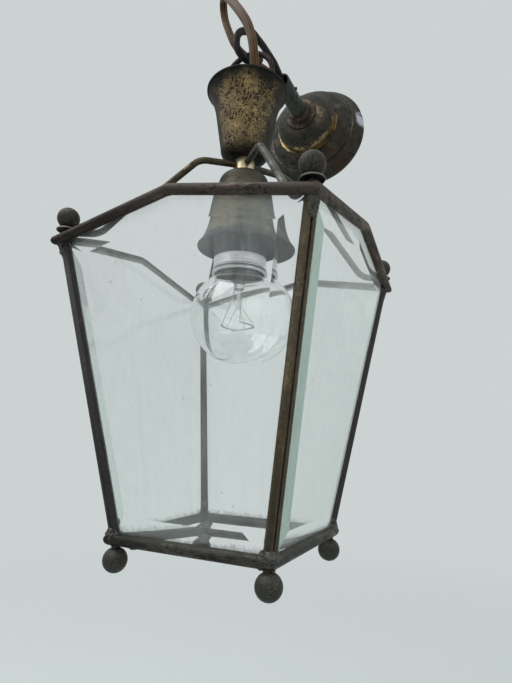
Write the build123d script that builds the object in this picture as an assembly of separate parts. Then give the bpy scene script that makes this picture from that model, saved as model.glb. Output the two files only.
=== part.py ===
"""Outdoor wall lantern: a tapered, four-sided, glazed lantern that hangs by a ring from a hooked bracket.

Millimetres, +Z up, +Y into the wall. The origin is the centre of the rose's back face, on the wall.
The bracket is drawn in this frame. The lantern is drawn about its own foot, the centre of the square that
the bottom rails' centrelines make, and hang() carries it to its place under the hook.
"""

import os
from math import atan2, cos, degrees, pi, radians, sin, sqrt, tan

from build123d import *

# ---------------------------------------------------------------- driving dimensions
# the frame
frame_height = 160.0  # bottom rail corner to top rail corner, centre to centre
top_half = 76.0  # half the side of the square of top rail corners
bottom_half = 46.0
gable_rise = 14.0  # how far each top rail rises at its middle
top_rail_r = 2.9
bottom_rail_r = 3.1
post_r = 3.3
post_inset_top = 3.0  # the posts stand inside the rails' corners
post_inset_bottom = 1.8
seam_width = 0.9  # open seam of the rolled post, along its outer corner
seam_depth = 1.1

# the glass
glass_thick = 3.2
glass_edge = 1.5  # thickness left at the bevelled edge
glass_back = 0.9  # how far the inner face stands inside the posts' plane
bevel_width = 12.0
glass_inset = 1.8  # from the posts' centreline to the glass's upright edge

# the balls
bottom_ball_r = 6.5
bottom_ball_z = -10.4
top_ball_r = 6.2
stud_r = 1.5
saucer_rim_r = 5.95

# the arms and the centre stack, heights above the lantern's foot
arm_r = 2.1
hub_r = 6.4
hub_low, hub_high = 222.2, 233.0
arm_start_z = 229.5
shoulder = (30.0, 227.6)  # out from the axis, up
knee = (84.0, 165.6)
arm_bends = [13.0, 11.0]  # centreline radii at the shoulder and the knee
foot_low = 163.0
eye_r = 2.9
eye_thick = 2.2
bell_height = 51.0
bell_wall = 1.1
bell_rim_r = 26.9
rim_bead_r = 0.9
tube_r = 5.0  # M10 hollow centre tube
tube_bore = 3.8
tube_low, tube_high = 211.0, 242.0

# the lampholder and the lamp
barrel_low = 154.0
barrel_r = 16.5
barrel_bore = 15.7
flange_z = 198.0
insulator_r = 13.6
insulator_high = 209.0
socket_r = 12.3
socket_bore = 11.4
contact_half = 4.5  # each contact's distance from the axis
bulb_r = 29.0
bulb_z = 127.4
bulb_wall = 0.8
cap_r = 11.0
cap_low = 168.5
cap_high = 193.0
pin_z = 188.0
pin_r = 1.0
push_travel = 1.5
turn_angle = 20.0
spring_wire_r = 0.25

# the bracket
reach = 140.0  # wall to lantern axis
arm_above_foot = 335.0  # arm tube's axis above the lantern's foot
rose_r = 46.5
rose_wall = 1.2
arm_tube_r = 6.8
arm_tube_bore = 5.8
hook_r = 2.5
hook_rise = 2.95  # the hook's shank above the arm tube's axis
bowl_r = 10.0
bowl_z = -26.0  # lowest point of the hook's centreline
bowl_twist = 34.0  # degrees that the bowl is bent out of the shank's plane, its front towards -X
ring_wire_r = 1.8
ring_r = 18.0
link_gap = 0.3  # room between pieces that hang in one another
bail_wire_r = 1.9
bail_half = 7.2
flex_r = 2.9

# the flex's route: out of the centre tube, past the hook, over a loop, back behind it, into the arm tube
flex_route = [
    (0, -140, -97),
    (0, -140, -83),
    (7.5, -145, -69),
    (12.5, -154, -53),
    (13, -158, -34),
    (9.5, -159, -18),
    (3.5, -159, -6),
    (-5, -156, 8.5),
    (-12, -152, 20),
    (-19, -145, 31),
    (-25, -137, 34),
    (-26, -132, 25),
    (-21.5, -132, 12),
    (-16.6, -131.5, -0.5),
    (-12, -126, -5.5),
    (-7.5, -115, -6),
    (-3, -101, -3.5),
    (0, -84, -2.75),
    (0, -53, -2.75),
    (0, -22, -1),
]

os.makedirs("parts", exist_ok=True)
nodes = {}


def keep(name, shape):
    """Names a finished piece; the whole list is written out at the end."""
    nodes[name] = shape


def hang(shape):
    """Carries a shape drawn about the lantern's foot to its place under the hook."""
    return Pos(0, -reach, -arm_above_foot) * shape


def rod(points, radius, corner_radii):
    """A round rod along straight runs joined by tangent arcs."""
    path = FilletPolyline(*points, radius=corner_radii)
    return sweep(Plane(origin=path @ 0, z_dir=path % 0) * Circle(radius), path=path)


def turned(*outline):
    """A solid of revolution about Z from (radius, height) corners."""
    return revolve(Plane.XZ * make_face(Polyline(*outline, close=True)), Axis.Z)


def drum(radius, low, high, x=0.0, y=0.0):
    """An upright cylinder between two heights."""
    return Pos(x, y, (low + high) / 2) * Cylinder(radius, high - low)


def along_y(radius, y_low, y_high, x=0.0, z=0.0):
    """A cylinder along Y."""
    return Pos(x, (y_low + y_high) / 2, z) * Rot(90, 0, 0) * Cylinder(radius, y_high - y_low)


def along_x(radius, x_low, x_high, y=0.0, z=0.0):
    """A cylinder along X."""
    return Pos((x_low + x_high) / 2, y, z) * Rot(0, 90, 0) * Cylinder(radius, x_high - x_low)


post_top_half = top_half - post_inset_top
post_bottom_half = bottom_half - post_inset_bottom


def four_corners():
    """Each corner's name and the turn about Z that brings the +X+Y corner to it."""
    return {"back_right": 0, "back_left": 90, "front_left": 180, "front_right": 270}


def four_sides():
    """Each side's name and the turn about Z that brings the front (-Y) side to it."""
    return {"front": 0, "right": 90, "back": 180, "left": 270}


# ---------------------------------------------------------------- the balls, studs and saucers
saucer_low = foot_low + eye_thick + 0.7  # the saucer's rim just clears the arm's eye
top_ball_z = saucer_low + 1.5 + top_ball_r
stud_low, stud_high = 152.0, top_ball_z + 1.0
spigot_high = 9.0


def at_corner(shape, turn, half):
    """Puts a shape drawn on the axis over the corner of a square of that half side."""
    return Rot(0, 0, turn) * (Pos(half, half, 0) * shape)


def finial_saucer():
    """A thin dished washer under the ball, its hollow side down."""
    outside = [(5.7, 0), (saucer_rim_r, 0.4), (5.6, 1.0), (3.2, 1.6), (stud_r, 1.8)]
    inside = [(stud_r, 1.1), (3.1, 0.9), (4.7, 0.5), (5.1, 0)]
    bowl = turned(*outside, *inside)
    return Pos(0, 0, saucer_low) * bowl


top_ball = Pos(0, 0, top_ball_z) * Sphere(top_ball_r) - drum(stud_r, stud_low, stud_high)
bottom_ball = Pos(0, 0, bottom_ball_z) * Sphere(bottom_ball_r) + drum(stud_r, bottom_ball_z, spigot_high)
saucer = finial_saucer() - Pos(0, 0, top_ball_z) * Sphere(top_ball_r)
stud = drum(stud_r, stud_low, stud_high)


def on_all_corners(shape, half):
    """Four copies of a shape as one node of separate solids."""
    return Compound(children=[hang(at_corner(shape, turn, half)) for turn in four_corners().values()])


keep("top_balls", on_all_corners(top_ball, post_top_half))
keep("finial_saucers", on_all_corners(saucer, post_top_half))
keep("finial_studs", on_all_corners(stud, post_top_half))
keep("bottom_balls", on_all_corners(bottom_ball, post_bottom_half))

# ---------------------------------------------------------------- the glass panels
slope_length = sqrt((post_top_half - post_bottom_half) ** 2 + frame_height**2)
slope_tilt = (post_top_half - post_bottom_half) / slope_length
slope_up = frame_height / slope_length


def inset_corners(corners, distance):
    """The corners of a polygon that runs anticlockwise, with every edge moved inwards by distance."""
    moved = []
    for here, corner in enumerate(corners):
        before = Vector(*corners[here - 1])
        at = Vector(*corner)
        after = Vector(*corners[(here + 1) % len(corners)])
        run_in = (at - before).normalized()
        run_out = (after - at).normalized()
        left_in = Vector(-run_in.Y, run_in.X)
        left_out = Vector(-run_out.Y, run_out.X)
        bisector = (left_in + left_out).normalized()
        moved.append(at + bisector * (distance / bisector.dot(left_in)))
    return moved


def front_glass():
    """The front panel: five-sided, flat inside, with a wide bevel outside."""
    gable = gable_rise / slope_up
    corners = [
        (-(post_bottom_half - glass_inset), 0.6),
        (post_bottom_half - glass_inset, 0.6),
        (post_top_half - glass_inset, slope_length),
        (0, slope_length + gable),
        (-(post_top_half - glass_inset), slope_length),
    ]
    face_plane = Plane(
        origin=(0, -post_bottom_half, 0), x_dir=(1, 0, 0), z_dir=(0, -slope_up, -slope_tilt)
    )
    outline = make_face(Polyline(*corners, close=True))
    crown = make_face(Polyline(*inset_corners(corners, bevel_width), close=True))
    edge_strip = extrude(outline, amount=glass_edge)
    bevel = loft([Pos(0, 0, glass_edge) * outline, Pos(0, 0, glass_thick) * crown], ruled=True)
    return face_plane * Pos(0, 0, -glass_back) * (edge_strip + bevel)


fixings_at_corner = {
    corner: at_corner(stud, turn, post_top_half) + at_corner(bottom_ball, turn, post_bottom_half)
    for corner, turn in four_corners().items()
}
corner_sides = {
    "front_left": ("front", "left"),
    "front_right": ("front", "right"),
    "back_right": ("back", "right"),
    "back_left": ("back", "left"),
}


def clear_of_fixings(shape, side):
    """Notches a rail or panel for the studs and spigots at its two corners."""
    for corner, sides in corner_sides.items():
        if side in sides:
            shape = shape - fixings_at_corner[corner]
    return max(shape.solids(), key=lambda piece: piece.volume)


glass = {}
for side, turn in four_sides().items():
    glass[side] = clear_of_fixings(Rot(0, 0, turn) * front_glass(), side)
    keep(f"glass_{side}", hang(glass[side]))

# ---------------------------------------------------------------- the rails
mitre_wedge = extrude(make_face(Polyline((0, 0), (-200, -200), (200, -200), close=True)), amount=400)
mitre_wedge = Pos(0, 0, -100) * mitre_wedge


def front_top_rail():
    """A round rail with one shallow bend at its middle, mitred into its neighbours."""
    outward = top_half + gable_rise * (top_half - bottom_half) / frame_height
    corner = Vector(top_half, -top_half, frame_height)
    peak = Vector(0, -outward, frame_height + gable_rise)
    past = corner + (corner - peak).normalized() * 2 * top_rail_r
    mirrored = Vector(-past.X, past.Y, past.Z)
    return rod([mirrored, peak, past], top_rail_r, 16.0) & mitre_wedge


def front_bottom_rail():
    """A straight round rail, mitred into its neighbours."""
    reach_out = bottom_half + 2 * bottom_rail_r
    return along_x(bottom_rail_r, -reach_out, reach_out, y=-bottom_half) & mitre_wedge


top_rails, bottom_rails = {}, {}
for side, turn in four_sides().items():
    top_rails[side] = clear_of_fixings(Rot(0, 0, turn) * front_top_rail() - glass[side], side)
    bottom_rails[side] = clear_of_fixings(Rot(0, 0, turn) * front_bottom_rail() - glass[side], side)
    keep(f"top_rail_{side}", hang(top_rails[side]))
    keep(f"bottom_rail_{side}", hang(bottom_rails[side]))

# ---------------------------------------------------------------- the posts


def corner_post():
    """The +X+Y post: a rolled tube, filled with solder, its seam open along the outer corner."""
    foot = Vector(post_bottom_half, post_bottom_half, 0)
    head = Vector(post_top_half, post_top_half, frame_height)
    rise = (head - foot).normalized()
    low, high = foot - rise * 3.6, head + rise * 6.0
    length = (high - low).length
    plane = Plane(origin=low, x_dir=Vector(1, 1, 0) - rise * rise.dot(Vector(1, 1, 0)), z_dir=rise)
    body = plane * Pos(0, 0, length / 2) * Cylinder(post_r, length)
    seam = plane * Pos(post_r, 0, length / 2) * Box(2 * seam_depth, seam_width, length)
    cut_off = Pos(0, 0, foot_low + 50) * Box(400, 400, 100)
    return body - seam - cut_off


posts = {}
for corner, turn in four_corners().items():
    first, second = corner_sides[corner]
    post = Rot(0, 0, turn) * corner_post()
    for side in (first, second):
        post = post - top_rails[side] - bottom_rails[side] - glass[side]
    post = post - fixings_at_corner[corner]
    posts[corner] = max(post.solids(), key=lambda piece: piece.volume)
    keep(f"post_{corner}", hang(posts[corner]))

# ---------------------------------------------------------------- the arms and their hub


def one_arm():
    """An arm in the XZ plane: out of the hub, down a steep run, and out to a flat eye over the corner."""
    eye_at = sqrt(2) * post_top_half
    points = [
        (tube_r + 0.4, 0, arm_start_z),
        (shoulder[0], 0, shoulder[1]),
        (knee[0], 0, knee[1]),
        (eye_at - 2, 0, foot_low + arm_r),
    ]
    bar = rod(points, arm_r, arm_bends)
    eye = drum(eye_r, foot_low, foot_low + eye_thick, x=eye_at)
    under_saucer = drum(saucer_rim_r + 0.25, foot_low + eye_thick, foot_low + 20, x=eye_at)
    below_foot = Pos(0, 0, foot_low - 50) * Box(400, 400, 100)
    return bar + eye - drum(stud_r, stud_low, stud_high, x=eye_at) - under_saucer - below_foot


hub = drum(hub_r, hub_low, hub_high) - drum(tube_r, hub_low, hub_high)
for corner, turn in four_corners().items():
    arm = Rot(0, 0, turn + 45) * one_arm()
    for side in corner_sides[corner]:
        arm = arm - top_rails[side]
    arm = max(arm.solids(), key=lambda piece: piece.volume)
    hub = hub - arm
    keep(f"arm_{corner}", hang(arm))
keep("arm_hub", hang(hub))

# ---------------------------------------------------------------- the two bells


def bell_solid(inset):
    """The bell pressing as a full solid, closed end down, its walls moved in by inset."""
    shoulder_out = (16.3 - inset, 7.4)
    flare_start = (20.4 - inset, 33.0)
    rim = (bell_rim_r - inset, bell_height - rim_bead_r)
    end_round = ThreePointArc((9.5, inset), (14.4 - 0.7 * inset, 2.3 + 0.7 * inset), shoulder_out)
    flare = TangentArc(flare_start, rim, tangent=(4.1, 25.6))
    closing = Polyline(rim, (0, bell_height - rim_bead_r), (0, inset), (9.5, inset))
    lines = end_round + Line(shoulder_out, flare_start) + flare + closing
    return revolve(Plane.XZ * make_face(lines), Axis.Z)


def bell():
    """One pressed bell with a rolled rim, closed end down, bored for the centre tube."""
    rim_bead = Pos(0, 0, bell_height - rim_bead_r) * Torus(bell_rim_r - bell_wall / 2, rim_bead_r)
    shell = bell_solid(0) - bell_solid(bell_wall) + rim_bead
    return shell - drum(tube_r, -1, 2 * bell_wall)


upper_bell = Pos(0, 0, hub_high) * bell()
lower_bell = Pos(0, 0, hub_low) * Rot(180, 0, 0) * bell()
keep("upper_bell", hang(upper_bell))
keep("lower_bell", hang(lower_bell))
keep("centre_tube", hang(drum(tube_r, tube_low, tube_high) - drum(tube_bore, tube_low, tube_high)))

# ---------------------------------------------------------------- the bail, ring and hook
ring_top = bowl_z + hook_r + link_gap + ring_wire_r
ring_z = ring_top - ring_r
pivot_z = ring_z - ring_r  # the ring's lowest point, which the lantern swings about
bail_top = pivot_z + ring_wire_r + link_gap + bail_wire_r

ring = Pos(0, -reach, ring_z) * Rot(90, 0, 0) * Torus(ring_r, ring_wire_r)
keep("suspension_ring", ring)

bail_low = hub_high + bell_wall
bail_hub_high = bail_low + 10.0
arch_z = bail_top + arm_above_foot - bail_half
leg = [(0, -bail_half, bail_hub_high - 2), (0, -bail_half, arch_z)]
arch = ThreePointArc((0, -bail_half, arch_z), (0, 0, arch_z + bail_half), (0, bail_half, arch_z))
bail_path = Line(*leg) + arch + Line((0, bail_half, arch_z), (0, bail_half, bail_hub_high - 2))
bail_bar = sweep(Plane(origin=leg[0], z_dir=(0, 0, 1)) * Circle(bail_wire_r), path=bail_path)
bail_hub = turned((0, 0), (9.4, 0), (9.4, 2.0), (10.2, 3.2), (10.2, 8.0), (8.6, 10.0), (0, 10.0))
bail = Pos(0, 0, bail_low) * bail_hub + bail_bar
bail = bail - drum(tube_r, bail_low, tube_high) - drum(tube_bore, bail_low, bail_hub_high + 1)
keep("suspension_bail", hang(bail))



def on_bowl(turn):
    """A point of the bowl's centreline: an upright circle that has its foot at the suspension point."""
    out = -bowl_r * cos(turn)
    twist = radians(bowl_twist)
    return (out * sin(twist), -reach + out * cos(twist), bowl_z + bowl_r - bowl_r * sin(turn))


# the hook's centreline: along the tube, up out of its mouth, over, and down sideways to the bowl's front
bowl_front = on_bowl(0)
hook_points = [
    (0, -60.0, hook_rise),
    (0, -87.0, hook_rise),
    (0, -98.0, 5.6),
    (0, -118.0, 4.0),
    (0, -136.0, 0.5),
    (bowl_front[0], bowl_front[1], -6.0),
    bowl_front,
]
shank = FilletPolyline(*hook_points, radius=[20.0, 16.0, 20.0, 10.0, 13.0])
tip_turn = radians(150)
bowl_points = [on_bowl(turn) for turn in (0, tip_turn / 2, tip_turn)]
hook_path = shank + ThreePointArc(*bowl_points)
hook = sweep(Plane(origin=hook_points[0], z_dir=(0, -1, 0)) * Circle(hook_r), path=hook_path)
hook = hook + Pos(*bowl_points[-1]) * Sphere(hook_r)
pin_y = -68.0
pin_hole = along_x(1.25, -arm_tube_r - 0.4, arm_tube_r + 0.4, y=pin_y, z=hook_rise)
keep("hook", hook - pin_hole)
keep("hook_pin", pin_hole)

# ---------------------------------------------------------------- the wall rose, arm tube and plate


def rose_solid(inset):
    """The rose as a full solid of revolution about Y: a flared flange, a stepped band and a domed crown."""
    flare_out = ThreePointArc(
        (rose_r - inset, -3.0), (42.6 - inset, -7.2 + inset * 0.7), (39.6 - inset, -13.4 + inset)
    )
    band = ThreePointArc(
        (38.4 - inset, -13.4 + inset), (35.6 - inset, -19.6 + inset), (28.2 - inset * 0.6, -22.6 + inset)
    )
    crown = ThreePointArc(
        (26.2 - inset, -22.6 + inset), (23.6 - inset, -33.6 + inset * 0.8), (14.5, -38.5 + inset)
    )
    lines = (
        Line((rose_r - inset, 0), (rose_r - inset, -3.0))
        + flare_out
        + Line((39.6 - inset, -13.4 + inset), (38.4 - inset, -13.4 + inset))
        + band
        + Line((28.2 - inset * 0.6, -22.6 + inset), (26.2 - inset, -22.6 + inset))
        + crown
        + Polyline((14.5, -38.5 + inset), (0, -38.5 + inset), (0, 0), (rose_r - inset, 0))
    )
    return revolve(make_face(lines), Axis.Y)


rose_front = -38.5
collar_front = -46.6
tube_mouth = -84.0
tube_back = -26.0
rose = rose_solid(0) - rose_solid(rose_wall) - along_y(arm_tube_r, rose_front - 1, 0)
plate_thick = 2.5
ear_z = 39.5
ear_deep = 8.0
ear_thick = 3.0
fixing_y = -4.6
fixing_r = 1.5
fixing_head_r = 2.5
plate = Pos(0, -plate_thick / 2, 0) * Box(20, plate_thick, 2 * ear_z)
for end in (1, -1):
    plate = plate + Pos(0, -ear_deep / 2, end * (ear_z - ear_thick / 2)) * Box(14, ear_deep, ear_thick)
screw_spacing = 50.0
wall_hole_r = 2.3
cable_hole_r = 5.0
cable_hole_z = -15.0
for end in (1, -1):
    plate = plate - along_y(wall_hole_r, -plate_thick, 0, z=end * screw_spacing / 2)
plate = plate - along_y(cable_hole_r, -plate_thick, 0, z=cable_hole_z)
fixings, fixing_holes = [], []
for end in (1, -1):
    shank_z = end * (ear_z - 5)
    head_z = end * 43.4
    screw = Pos(0, fixing_y, (shank_z + head_z) / 2) * Cylinder(fixing_r, abs(head_z - shank_z))
    outer_half = Pos(0, fixing_y, head_z + end * fixing_head_r) * Box(8, 8, 2 * fixing_head_r)
    head = Pos(0, fixing_y, head_z) * Sphere(fixing_head_r) & outer_half
    slot = Pos(0, fixing_y, head_z + end * fixing_head_r) * Box(8, 0.7, 1.6)
    fixing_holes.append(screw + head)
    fixings.append(screw + head - slot)
for hole in fixing_holes:
    rose = rose - hole
    plate = plate - hole
keep("wall_rose", rose)
keep("wall_plate", plate)
keep("rose_screws", Compound(children=fixings))

collar_outline = [
    (arm_tube_r, rose_front),
    (13.6, rose_front),
    (13.9, rose_front - 1.0),
    (13.2, rose_front - 2.2),
    (10.2, rose_front - 2.6),
    (9.7, rose_front - 4.6),
    (8.6, collar_front + 0.6),
    (7.8, collar_front),
    (arm_tube_r, collar_front),
]
keep("rose_collar", revolve(make_face(Polyline(*collar_outline, close=True)), Axis.Y))
nut_front = rose_front + rose_wall
backnut = Pos(0, nut_front, 0) * Rot(-90, 0, 0) * extrude(RegularPolygon(11.0, 6), amount=5.0)
keep("arm_backnut", backnut - along_y(arm_tube_r, -40, 0))
arm_tube = along_y(arm_tube_r, tube_mouth, tube_back)
arm_tube = arm_tube - along_y(arm_tube_bore, tube_mouth - 1, tube_back + 1)
keep("arm_tube", arm_tube - pin_hole)

# the terminal block behind the tube, with its two screws
block_front = -22.0
block = Pos(0, (block_front - plate_thick) / 2, 0) * Box(22, -block_front - plate_thick, 16)
terminal_half = 5.0
terminal_r = 1.5
clamp_y = -16.0  # where each screw clamps its core
terminal_screws = []
for x in (-terminal_half, terminal_half):
    block = block - along_y(terminal_r, block_front, block_front + 6, x=x)
    block = block - drum(terminal_r, 3.0, 8.0, x=x, y=clamp_y)
    screw = drum(terminal_r, 3.0, 7.6, x=x, y=clamp_y) - Pos(x, clamp_y, 7.4) * Box(4, 0.5, 0.8)
    terminal_screws.append(screw)
keep("terminal_screws", Compound(children=terminal_screws))

# ---------------------------------------------------------------- the lampholder
cap_neck_high = hub_low - bell_wall
shelf = flange_z + 1.2
holder_cap = turned(
    (tube_r, 212.0),
    (7.6, 212.0),
    (14.2, 209.6),
    (14.2, shelf),
    (15.7, shelf),
    (15.7, 210.0),
    (8.6, 214.0),
    (8.6, cap_neck_high),
    (tube_r, cap_neck_high),
)
keep("holder_cap", hang(holder_cap))
barrel = turned(
    (barrel_bore, barrel_low),
    (barrel_r + 0.7, barrel_low),
    (barrel_r + 0.9, barrel_low + 0.8),
    (barrel_r + 0.2, barrel_low + 1.8),
    (barrel_r + 0.2, barrel_low + 2.4),
    (barrel_r + 0.5, barrel_low + 3.0),
    (barrel_r, barrel_low + 3.8),
    (barrel_r, 205.0),
    (barrel_bore, 205.0),
    (barrel_bore, flange_z),
    (14.4, flange_z),
    (14.4, flange_z - 1.4),
    (barrel_bore, flange_z - 1.4),
)
keep("holder_barrel", hang(barrel))

socket = turned(
    (socket_bore, 176.0),
    (socket_r, 176.0),
    (socket_r, flange_z),
    (15.5, flange_z),
    (15.5, shelf),
    (socket_bore, shelf),
)
slot_half = degrees(atan2(pin_r + 0.3, cap_r))


def slot_wedge(from_angle, to_angle, low, high):
    """An upright sector that cuts the bayonet sleeve between two angles and two heights."""
    outer = 20.0
    steps = [from_angle + (to_angle - from_angle) * k / 6 for k in range(7)]
    rim = [(outer * cos(radians(step)), outer * sin(radians(step))) for step in steps]
    return Pos(0, 0, low) * extrude(make_face(Polyline((0, 0), *rim, close=True)), amount=high - low)


for seat in (90, 270):
    window_low = pin_z - pin_r - 0.3
    window_high = pin_z + pin_r + push_travel + 0.3
    window = slot_wedge(seat - turn_angle - slot_half, seat + slot_half, window_low, window_high)
    entry = slot_wedge(seat - turn_angle - slot_half, seat - turn_angle + slot_half, 175.0, pin_z)
    socket = socket - window - entry
keep("holder_socket", hang(socket))

guide_r = 1.6
guide_play = 0.08
collar_r = 2.4
spring_turns = 4
spring_r = 1.9
chamber_r = 2.6
chamber_low, chamber_high = shelf + 1.5, insulator_high - 0.8
insulator = drum(insulator_r, shelf, insulator_high)
plungers, springs, holder_screws = [], [], []
tip_z = 194.3
collar_low = chamber_low + 0.1
collar_high = collar_low + 1.2
for x in (-contact_half, contact_half):
    insulator = insulator - drum(guide_r + guide_play, shelf, chamber_low, x=x)
    insulator = insulator - drum(chamber_r, chamber_low, chamber_high, x=x)
    stalk = drum(guide_r, tip_z, collar_high, x=x)
    plungers.append(hang(stalk + drum(collar_r, collar_low, collar_high, x=x)))
    coil_low, coil_high = collar_high + spring_wire_r + 0.05, chamber_high - spring_wire_r - 0.02
    coil_height = coil_high - coil_low
    coil = Helix(pitch=coil_height / spring_turns, height=coil_height, radius=spring_r)
    wire = sweep(Plane(origin=coil @ 0, z_dir=coil % 0) * Circle(spring_wire_r), path=coil, is_frenet=True)
    springs.append(hang(Pos(x, 0, coil_low) * wire))
core_screw_r = 1.3
core_screw_z = 204.5
core_screw_depth = 9.0  # its inner end's distance from the axis
for end in (1, -1):
    screw_hole = along_y(core_screw_r, core_screw_depth, insulator_r, z=core_screw_z)
    screw = along_y(core_screw_r, core_screw_depth, insulator_r - 0.4, z=core_screw_z)
    screw = screw - Pos(0, insulator_r - 0.6, core_screw_z) * Box(0.5, 0.8, 3)
    facing = Rot(0, 0, 0 if end == 1 else 180)
    insulator = insulator - facing * screw_hole
    holder_screws.append(hang(facing * screw))
keep("holder_insulator", hang(insulator))
keep("holder_plungers", Compound(children=plungers))
keep("holder_springs", Compound(children=springs))
keep("holder_screws", Compound(children=holder_screws))

lead_r = 1.25
lead_half_pitch = 1.45
flex_start = arm_above_foot + flex_route[0][2]
cores = [
    hang(drum(lead_r, insulator_high, flex_start, x=x)) for x in (-lead_half_pitch, lead_half_pitch)
]
keep("holder_leads", Compound(children=cores))

# ---------------------------------------------------------------- the lamp


def bulb_solid(inset):
    """The bulb's envelope as a full solid: a sphere that runs into a narrow neck."""
    radius = bulb_r - inset
    leave = radians(58)
    leave_point = (radius * cos(leave), bulb_z + radius * sin(leave))
    sphere_arc = ThreePointArc((0, bulb_z - radius), (radius, bulb_z), leave_point)
    neck = Spline(
        leave_point,
        (14.0 - inset, 157.6),
        (13.3 - inset, 161.5),
        (12.5 - inset, cap_low),
        tangents=[(-sin(leave), cos(leave)), (-0.06, 1)],
    )
    closing = Polyline((12.5 - inset, cap_low), (0, cap_low), (0, bulb_z - radius))
    return revolve(Plane.XZ * make_face(sphere_arc + neck + closing), Axis.Z)


keep("bulb_glass", hang(bulb_solid(0) - bulb_solid(bulb_wall)))
lamp_cap = turned(
    (10.3, cap_low),
    (13.0, cap_low),
    (13.0, cap_low + 1.6),
    (cap_r, cap_low + 4.0),
    (cap_r, cap_high - 0.8),
    (cap_r - 0.8, cap_high),
    (9.4, cap_high),
    (9.4, cap_high - 0.8),
    (10.3, cap_high - 0.8),
)
front_pin = along_y(pin_r, -13.0, -10.3, z=pin_z)
back_pin = along_y(pin_r, 10.3, 13.0, z=pin_z)
keep("bulb_cap", hang(lamp_cap - front_pin - back_pin))
keep("bulb_pins", Compound(children=[hang(front_pin), hang(back_pin)]))
contact_z = tip_z - 0.06
contact_r = 2.0
vitrite_r = 9.4
vitrite = drum(vitrite_r, cap_high - 2.4, cap_high)
contacts = []
for x in (-contact_half, contact_half):
    contact = drum(contact_r, cap_high - 1.0, contact_z, x=x)
    vitrite = vitrite - contact
    contacts.append(hang(contact))
keep("bulb_insulator", hang(vitrite))
keep("bulb_contacts", Compound(children=contacts))

pinch_z = 145.0
button_z = 134.0
filament_z = 122.0
filament_r = 10.0
filament_wire_r = 0.22
lead_half = 2.2
lead_wire_r = 0.3
support_wire_r = 0.15
button_r = 1.9
stem_side = [(3.2, pinch_z), (3.4, 150.0), (4.4, 156.0), (6.4, 163.0), (11.2, cap_low)]
stem = turned((0, pinch_z), *stem_side, (0, cap_low))
stem = stem + drum(0.8, button_z, pinch_z + 1) + Pos(0, 0, button_z) * Sphere(button_r)
arc_points = [
    (filament_r * sin(turn), -filament_r * cos(turn), filament_z)
    for turn in (-radians(35), pi, radians(35))
]
filament_arc = ThreePointArc(*arc_points)
filament_section = Plane(origin=filament_arc @ 0, z_dir=filament_arc % 0) * Circle(filament_wire_r)
filament = sweep(filament_section, path=filament_arc)
lead_wires = []
for end, point in ((-1, arc_points[0]), (1, arc_points[2])):
    top = Vector(end * lead_half, 0, pinch_z + 1)
    bottom = Vector(*point) + Vector(0, 0, 0.5)
    run = Line(top, bottom)
    lead_wires.append(sweep(Plane(origin=top, z_dir=(bottom - top)) * Circle(lead_wire_r), path=run))
supports = []
for turn in (110, 180, 250):
    top = Vector(1.4 * sin(radians(turn)), -1.4 * cos(radians(turn)), button_z)
    hook_end = Vector(filament_r * sin(radians(turn)), -filament_r * cos(radians(turn)), filament_z + 0.45)
    run = Line(top, hook_end)
    supports.append(sweep(Plane(origin=top, z_dir=(hook_end - top)) * Circle(support_wire_r), path=run))
for wire in lead_wires + supports:
    stem = stem - wire
keep("bulb_stem", hang(stem))
keep("bulb_leads", Compound(children=[hang(wire) for wire in lead_wires]))
keep("bulb_supports", Compound(children=[hang(wire) for wire in supports]))
keep("bulb_filament", hang(filament))

# ---------------------------------------------------------------- the flex
def route_radii(route):
    """The largest tangent arc that each corner's two runs allow."""
    radii = []
    for before, corner, after in zip(route, route[1:], route[2:]):
        run_in = Vector(*corner) - Vector(*before)
        run_out = Vector(*after) - Vector(*corner)
        half_turn = radians(run_in.get_angle(run_out)) / 2
        radii.append(0.45 * min(run_in.length, run_out.length) / tan(half_turn))
    return radii


flex_radii = route_radii(flex_route)
flex_path = FilletPolyline(*flex_route, radius=flex_radii)
flex = sweep(Plane(origin=flex_path @ 0, z_dir=flex_path % 0) * Circle(flex_r), path=flex_path)
keep("flex", flex)
keep("terminal_block", block - flex)
volume_ratio = flex.volume / (pi * flex_r**2 * flex_path.length)
print("flex radii", [round(radius, 1) for radius in flex_radii])
print("flex length", round(flex_path.length, 1), "volume ratio", round(volume_ratio, 5))

for name, shape in nodes.items():
    export_step(shape, f"parts/{name}.step")
print(len(nodes), "nodes")
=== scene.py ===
# %% [markdown]
# # An old glazed wall lantern
# The lantern hangs by a ring from a hooked bracket: a tapered brass frame, four bevelled panes, two bell
# cups and a clear round lamp. The construction arrives finished, as a frame of named pieces in metres, and
# this lesson adds what a drawing leaves out: tarnish, worn crests, solder, dust, the flex and the glass.
# Nothing that arrives is moved. Materials are put on it, and finer pieces stand in where it is too plain.

# %% Load the construction
import random
from functools import partial
from math import cos, pi, radians, sin

import bmesh
import bpy
from mathutils import Matrix, Vector, noise


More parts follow.
